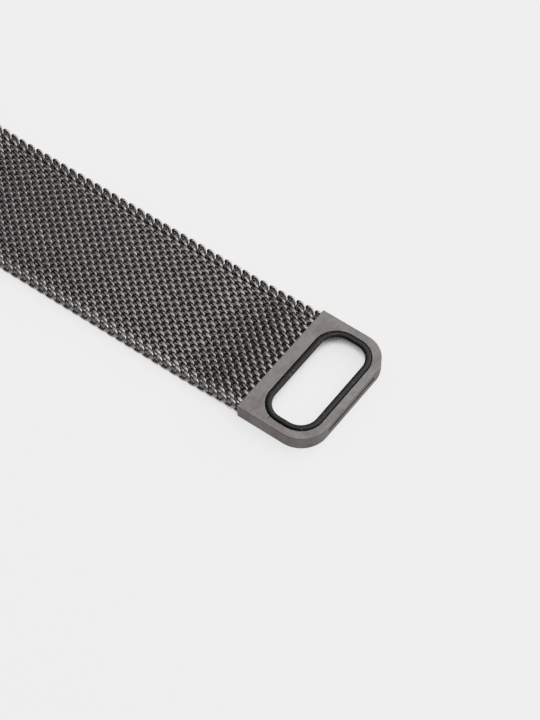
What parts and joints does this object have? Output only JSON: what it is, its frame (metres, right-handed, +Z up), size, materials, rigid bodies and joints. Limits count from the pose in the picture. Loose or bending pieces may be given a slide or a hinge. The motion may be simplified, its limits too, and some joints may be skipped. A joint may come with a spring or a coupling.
{
  "type": "woven mesh watch strap half",
  "caption": "Ring half of a two-piece woven steel mesh watch bracelet: limp band of hinged links, lined slotted ring at one end and quick release spring bar at the other.",
  "frame": {"origin": "on the surface that the strap lies on, under the middle of its box", "axes": "+X towards the free end of the ring, +Y across the strap, +Z up out of the side worn outwards"},
  "size_m": [0.0894, 0.024, 0.0032],
  "materials": {
    "mesh_steel": "polished dark gunmetal wire",
    "ring_steel": "satin dark gunmetal, fine grain",
    "liner_plastic": "moulded, semi-gloss black",
    "bar_steel": "turned, bare",
    "spring_steel": "drawn wire"
  },
  "bodies": {
    "ring": {"ring_frame": "ring_steel", "slot_liner": "liner_plastic", "ring_anchor_coils": "mesh_steel"},
    "mesh_link_01": {"mesh_link_01": "mesh_steel"},
    "mesh_link_02": {"mesh_link_02": "mesh_steel"},
    "mesh_link_03": {"mesh_link_03": "mesh_steel"},
    "mesh_link_04": {"mesh_link_04": "mesh_steel"},
    "mesh_link_05": {"mesh_link_05": "mesh_steel"},
    "mesh_link_06": {"mesh_link_06": "mesh_steel"},
    "mesh_link_07": {"mesh_link_07": "mesh_steel"},
    "mesh_link_08": {"mesh_link_08": "mesh_steel"},
    "mesh_link_09": {"mesh_link_09": "mesh_steel"},
    "mesh_link_10": {"mesh_link_10": "mesh_steel"},
    "mesh_link_11": {"mesh_link_11": "mesh_steel"},
    "mesh_link_12": {"mesh_link_12": "mesh_steel"},
    "mesh_link_13": {"mesh_link_13": "mesh_steel"},
    "mesh_link_14": {"mesh_link_14": "mesh_steel"},
    "mesh_link_15": {"mesh_link_15": "mesh_steel"},
    "mesh_link_16": {"mesh_link_16": "mesh_steel"},
    "mesh_link_17": {"mesh_link_17": "mesh_steel"},
    "mesh_link_18": {"mesh_link_18": "mesh_steel"},
    "mesh_link_19": {"mesh_link_19": "mesh_steel"},
    "mesh_link_20": {"mesh_link_20": "mesh_steel"},
    "lug_end": {"lug_tube": "ring_steel", "lug_anchor_coils": "mesh_steel", "spring_bar_barrel": "bar_steel", "spring_bar_fixed_tip": "bar_steel", "spring_bar_spring": "spring_steel"},
    "release": {"spring_bar_sliding_tip": "bar_steel", "release_knob": "bar_steel"}
  },
  "joints": [
    {"name": "mesh_hinge_01", "type": "hinge", "parent": "ring", "child": "mesh_link_01", "pos_m": [0.03062, 0, 0.00125], "axis": [0, 1, 0], "range_deg": [-13, 13]},
    {"name": "mesh_hinge_02", "type": "hinge", "parent": "mesh_link_01", "child": "mesh_link_02", "pos_m": [0.02713, 0, 0.00112], "axis": [0, 1, 0], "range_deg": [-13, 13]},
    {"name": "mesh_hinge_03", "type": "hinge", "parent": "mesh_link_02", "child": "mesh_link_03", "pos_m": [0.02363, 0, 0.00087], "axis": [0, 1, 0], "range_deg": [-13, 13]},
    {"name": "mesh_hinge_04", "type": "hinge", "parent": "mesh_link_03", "child": "mesh_link_04", "pos_m": [0.02014, 0, 0.00074], "axis": [0, 1, 0], "range_deg": [-13, 13]},
    {"name": "mesh_hinge_05", "type": "hinge", "parent": "mesh_link_04", "child": "mesh_link_05", "pos_m": [0.01664, 0, 0.00074], "axis": [0, 1, 0], "range_deg": [-13, 13]},
    {"name": "mesh_hinge_06", "type": "hinge", "parent": "mesh_link_05", "child": "mesh_link_06", "pos_m": [0.01314, 0, 0.00074], "axis": [0, 1, 0], "range_deg": [-13, 13]},
    {"name": "mesh_hinge_07", "type": "hinge", "parent": "mesh_link_06", "child": "mesh_link_07", "pos_m": [0.00964, 0, 0.00074], "axis": [0, 1, 0], "range_deg": [-13, 13]},
    {"name": "mesh_hinge_08", "type": "hinge", "parent": "mesh_link_07", "child": "mesh_link_08", "pos_m": [0.00614, 0, 0.00074], "axis": [0, 1, 0], "range_deg": [-13, 13]},
    {"name": "mesh_hinge_09", "type": "hinge", "parent": "mesh_link_08", "child": "mesh_link_09", "pos_m": [0.00264, 0, 0.00074], "axis": [0, 1, 0], "range_deg": [-13, 13]},
    {"name": "mesh_hinge_10", "type": "hinge", "parent": "mesh_link_09", "child": "mesh_link_10", "pos_m": [-0.00086, 0, 0.00074], "axis": [0, 1, 0], "range_deg": [-13, 13]},
    {"name": "mesh_hinge_11", "type": "hinge", "parent": "mesh_link_10", "child": "mesh_link_11", "pos_m": [-0.00436, 0, 0.00074], "axis": [0, 1, 0], "range_deg": [-13, 13]},
    {"name": "mesh_hinge_12", "type": "hinge", "parent": "mesh_link_11", "child": "mesh_link_12", "pos_m": [-0.00786, 0, 0.00074], "axis": [0, 1, 0], "range_deg": [-13, 13]},
    {"name": "mesh_hinge_13", "type": "hinge", "parent": "mesh_link_12", "child": "mesh_link_13", "pos_m": [-0.01136, 0, 0.00074], "axis": [0, 1, 0], "range_deg": [-13, 13]},
    {"name": "mesh_hinge_14", "type": "hinge", "parent": "mesh_link_13", "child": "mesh_link_14", "pos_m": [-0.01486, 0, 0.00074], "axis": [0, 1, 0], "range_deg": [-13, 13]},
    {"name": "mesh_hinge_15", "type": "hinge", "parent": "mesh_link_14", "child": "mesh_link_15", "pos_m": [-0.01836, 0, 0.00074], "axis": [0, 1, 0], "range_deg": [-13, 13]},
    {"name": "mesh_hinge_16", "type": "hinge", "parent": "mesh_link_15", "child": "mesh_link_16", "pos_m": [-0.02186, 0, 0.00074], "axis": [0, 1, 0], "range_deg": [-13, 13]},
    {"name": "mesh_hinge_17", "type": "hinge", "parent": "mesh_link_16", "child": "mesh_link_17", "pos_m": [-0.02536, 0, 0.00074], "axis": [0, 1, 0], "range_deg": [-13, 13]},
    {"name": "mesh_hinge_18", "type": "hinge", "parent": "mesh_link_17", "child": "mesh_link_18", "pos_m": [-0.02886, 0, 0.00074], "axis": [0, 1, 0], "range_deg": [-13, 13]},
    {"name": "mesh_hinge_19", "type": "hinge", "parent": "mesh_link_18", "child": "mesh_link_19", "pos_m": [-0.03236, 0, 0.00096], "axis": [0, 1, 0], "range_deg": [-13, 13]},
    {"name": "mesh_hinge_20", "type": "hinge", "parent": "mesh_link_19", "child": "mesh_link_20", "pos_m": [-0.03583, 0, 0.00138], "axis": [0, 1, 0], "range_deg": [-13, 13]},
    {"name": "mesh_hinge_21", "type": "hinge", "parent": "mesh_link_20", "child": "lug_end", "pos_m": [-0.03932, 0, 0.0016], "axis": [0, 1, 0], "range_deg": [-13, 13]},
    {"name": "release_slide", "type": "slide", "parent": "lug_end", "child": "release", "axis": [0, 1, 0], "range_m": [0, 0.0012], "stiffness_N_per_m": 400, "springref_m": -0.001, "deforming": ["spring_bar_spring"]}
  ]
}
